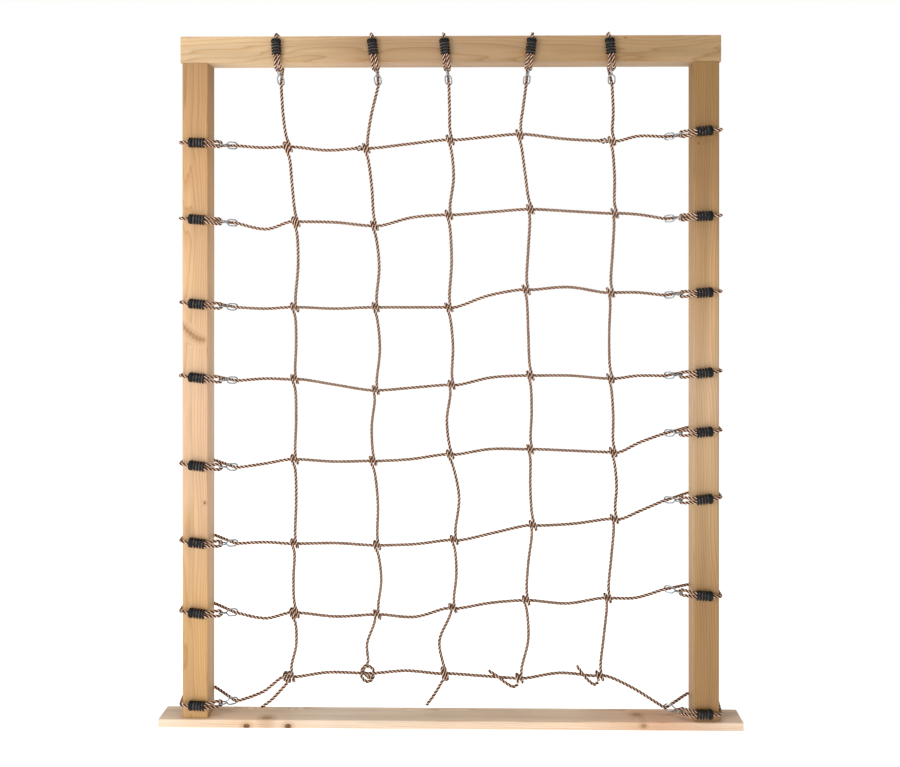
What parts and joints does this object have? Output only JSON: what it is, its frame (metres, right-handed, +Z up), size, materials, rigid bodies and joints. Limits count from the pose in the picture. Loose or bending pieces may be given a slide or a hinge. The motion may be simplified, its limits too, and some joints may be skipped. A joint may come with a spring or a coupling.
{
  "type": "cargo climbing net",
  "caption": "Free-standing goal-shaped timber frame with a hand-knotted rope climbing net, tied to it by nooses with ribbed sleeves and steel links.",
  "frame": {"origin": "centre of the base board's underside, on the floor", "axes": "+Z up, +X to the right along the beam, -Y towards the side where the sleeves are"},
  "size_m": [2.135, 0.1288, 2.5426],
  "materials": {
    "beam_timber": "planed softwood",
    "post_timber": "planed softwood",
    "board_timber": "rough planed softwood",
    "screw_steel": "zinc plated",
    "rope_fibre": "three-strand laid polypropylene fibre",
    "sleeve_plastic": "moulded, satin",
    "link_zinc": "hot-dip galvanised"
  },
  "bodies": {
    "frame_and_net": {"beam": "beam_timber", "post_left": "post_timber", "post_right": "post_timber", "base_board": "board_timber", "beam_screws": "screw_steel", "base_screws": "screw_steel", "rope_v1": "rope_fibre", "rope_v2": "rope_fibre", "rope_v3": "rope_fibre", "rope_v4": "rope_fibre", "rope_v5": "rope_fibre", "rope_h1": "rope_fibre", "rope_h2": "rope_fibre", "rope_h3": "rope_fibre", "rope_h4": "rope_fibre", "rope_h5": "rope_fibre", "rope_h6": "rope_fibre", "rope_h7": "rope_fibre", "rope_h8": "rope_fibre", "sleeves_beam": "sleeve_plastic", "sleeves_left": "sleeve_plastic", "sleeves_right": "sleeve_plastic"},
    "link_b1": {"link_b1": "link_zinc"},
    "link_b2": {"link_b2": "link_zinc"},
    "link_b3": {"link_b3": "link_zinc"},
    "link_b4": {"link_b4": "link_zinc"},
    "link_b5": {"link_b5": "link_zinc"},
    "link_l1": {"link_l1": "link_zinc"},
    "link_l2": {"link_l2": "link_zinc"},
    "link_l3": {"link_l3": "link_zinc"},
    "link_l4": {"link_l4": "link_zinc"},
    "link_l5": {"link_l5": "link_zinc"},
    "link_l6": {"link_l6": "link_zinc"},
    "link_l7": {"link_l7": "link_zinc"},
    "link_l8": {"link_l8": "link_zinc"},
    "link_r1": {"link_r1": "link_zinc"},
    "link_r2": {"link_r2": "link_zinc"},
    "link_r3": {"link_r3": "link_zinc"},
    "link_r4": {"link_r4": "link_zinc"},
    "link_r5": {"link_r5": "link_zinc"},
    "link_r6": {"link_r6": "link_zinc"},
    "link_r7": {"link_r7": "link_zinc"},
    "link_r8": {"link_r8": "link_zinc"},
    "tail_v1": {"tail_v1": "rope_fibre"},
    "tail_v3": {"tail_v3": "rope_fibre"},
    "tail_v4": {"tail_v4": "rope_fibre"},
    "tail_v5": {"tail_v5": "rope_fibre"}
  },
  "joints": [
    {"name": "link_b1_roll", "type": "hinge", "parent": "frame_and_net", "child": "link_b1", "pos_m": [-0.62667, 0.008, 2.36], "axis": [0.038, 0.6486, -0.7601], "range_deg": [-23, 3]},
    {"name": "link_b2_roll", "type": "hinge", "parent": "frame_and_net", "child": "link_b2", "pos_m": [-0.26583, 0.008, 2.36], "axis": [0.0909, 0.6464, -0.7575], "range_deg": [-5, 21]},
    {"name": "link_b3_roll", "type": "hinge", "parent": "frame_and_net", "child": "link_b3", "pos_m": [-0.005, 0.008, 2.36], "axis": [0.0758, 0.6472, -0.7585], "range_deg": [-25, 1]},
    {"name": "link_b4_roll", "type": "hinge", "parent": "frame_and_net", "child": "link_b4", "pos_m": [0.28083, 0.008, 2.36], "axis": [-0.0909, 0.6464, -0.7575], "range_deg": [-1, 25]},
    {"name": "link_b5_roll", "type": "hinge", "parent": "frame_and_net", "child": "link_b5", "pos_m": [0.59667, 0.008, 2.36], "axis": [0.0758, 0.6472, -0.7585], "range_deg": [-19, 7]},
    {"name": "link_l1_roll", "type": "hinge", "parent": "frame_and_net", "child": "link_l1", "pos_m": [-0.7915, 0.008, 2.13488], "axis": [0.8395, 0.5427, -0.0252], "range_deg": [-21, 5]},
    {"name": "link_l2_roll", "type": "hinge", "parent": "frame_and_net", "child": "link_l2", "pos_m": [-0.7915, 0.008, 1.84775], "axis": [0.8379, 0.5417, -0.067], "range_deg": [-3, 23]},
    {"name": "link_l3_roll", "type": "hinge", "parent": "frame_and_net", "child": "link_l3", "pos_m": [-0.7915, 0.008, 1.53563], "axis": [0.8369, 0.541, -0.0837], "range_deg": [-21, 5]},
    {"name": "link_l4_roll", "type": "hinge", "parent": "frame_and_net", "child": "link_l4", "pos_m": [-0.7915, 0.008, 1.2635], "axis": [0.8356, 0.5402, -0.1003], "range_deg": [-25, 1]},
    {"name": "link_l5_roll", "type": "hinge", "parent": "frame_and_net", "child": "link_l5", "pos_m": [-0.7915, 0.008, 0.94138], "axis": [0.8356, 0.5402, -0.1003], "range_deg": [-7, 19]},
    {"name": "link_l6_roll", "type": "hinge", "parent": "frame_and_net", "child": "link_l6", "pos_m": [-0.7915, 0.008, 0.65925], "axis": [0.8356, 0.5402, -0.1003], "range_deg": [-23, 3]},
    {"name": "link_l7_roll", "type": "hinge", "parent": "frame_and_net", "child": "link_l7", "pos_m": [-0.7915, 0.008, 0.40213], "axis": [0.8356, 0.5402, -0.1003], "range_deg": [-1, 25]},
    {"name": "link_l8_roll", "type": "hinge", "parent": "frame_and_net", "child": "link_l8", "pos_m": [-0.7915, 0.008, 0.075], "axis": [0.8393, 0.5426, -0.0336], "range_deg": [-17, 9]},
    {"name": "link_r1_roll", "type": "hinge", "parent": "frame_and_net", "child": "link_r1", "pos_m": [0.7915, 0.008, 2.16488], "axis": [-0.8369, 0.541, -0.0837], "range_deg": [-21, 5]},
    {"name": "link_r2_roll", "type": "hinge", "parent": "frame_and_net", "child": "link_r2", "pos_m": [0.7915, 0.008, 1.86275], "axis": [-0.8391, 0.5424, -0.042], "range_deg": [-7, 19]},
    {"name": "link_r3_roll", "type": "hinge", "parent": "frame_and_net", "child": "link_r3", "pos_m": [0.7915, 0.008, 1.58063], "axis": [-0.8379, 0.5417, -0.067], "range_deg": [-25, 1]},
    {"name": "link_r4_roll", "type": "hinge", "parent": "frame_and_net", "child": "link_r4", "pos_m": [0.7915, 0.008, 1.2835], "axis": [-0.8356, 0.5402, -0.1003], "range_deg": [-3, 23]},
    {"name": "link_r5_roll", "type": "hinge", "parent": "frame_and_net", "child": "link_r5", "pos_m": [0.7915, 0.008, 1.07138], "axis": [-0.8369, 0.541, -0.0837], "range_deg": [-13, 13]},
    {"name": "link_r6_roll", "type": "hinge", "parent": "frame_and_net", "child": "link_r6", "pos_m": [0.7915, 0.008, 0.82425], "axis": [-0.8356, 0.5402, -0.1003], "range_deg": [-1, 25]},
    {"name": "link_r7_roll", "type": "hinge", "parent": "frame_and_net", "child": "link_r7", "pos_m": [0.7915, 0.008, 0.49712], "axis": [-0.8391, 0.5424, 0.042], "range_deg": [-19, 7]},
    {"name": "link_r8_roll", "type": "hinge", "parent": "frame_and_net", "child": "link_r8", "pos_m": [0.7915, 0.008, 0.06], "axis": [-0.8398, 0.5429, 0], "range_deg": [-5, 12]},
    {"name": "tail_v1_swing", "type": "hinge", "parent": "frame_and_net", "child": "tail_v1", "pos_m": [-0.60329, -0.00804, 0.14488], "axis": [0, 1, 0], "range_deg": [-10, 25], "stiffness_Nm_per_rad": 0.2},
    {"name": "tail_v3_swing", "type": "hinge", "parent": "frame_and_net", "child": "tail_v3", "pos_m": [-0.02662, -0.00804, 0.15988], "axis": [0, 1, 0], "range_deg": [-20, 15], "stiffness_Nm_per_rad": 0.2},
    {"name": "tail_v4_swing", "type": "hinge", "parent": "frame_and_net", "child": "tail_v4", "pos_m": [0.24921, -0.00804, 0.14488], "axis": [0, 1, 0], "range_deg": [-20, 15], "stiffness_Nm_per_rad": 0.2},
    {"name": "tail_v5_swing", "type": "hinge", "parent": "frame_and_net", "child": "tail_v5", "pos_m": [0.54505, -0.00804, 0.15488], "axis": [0, 1, 0], "range_deg": [-20, 15], "stiffness_Nm_per_rad": 0.2}
  ]
}
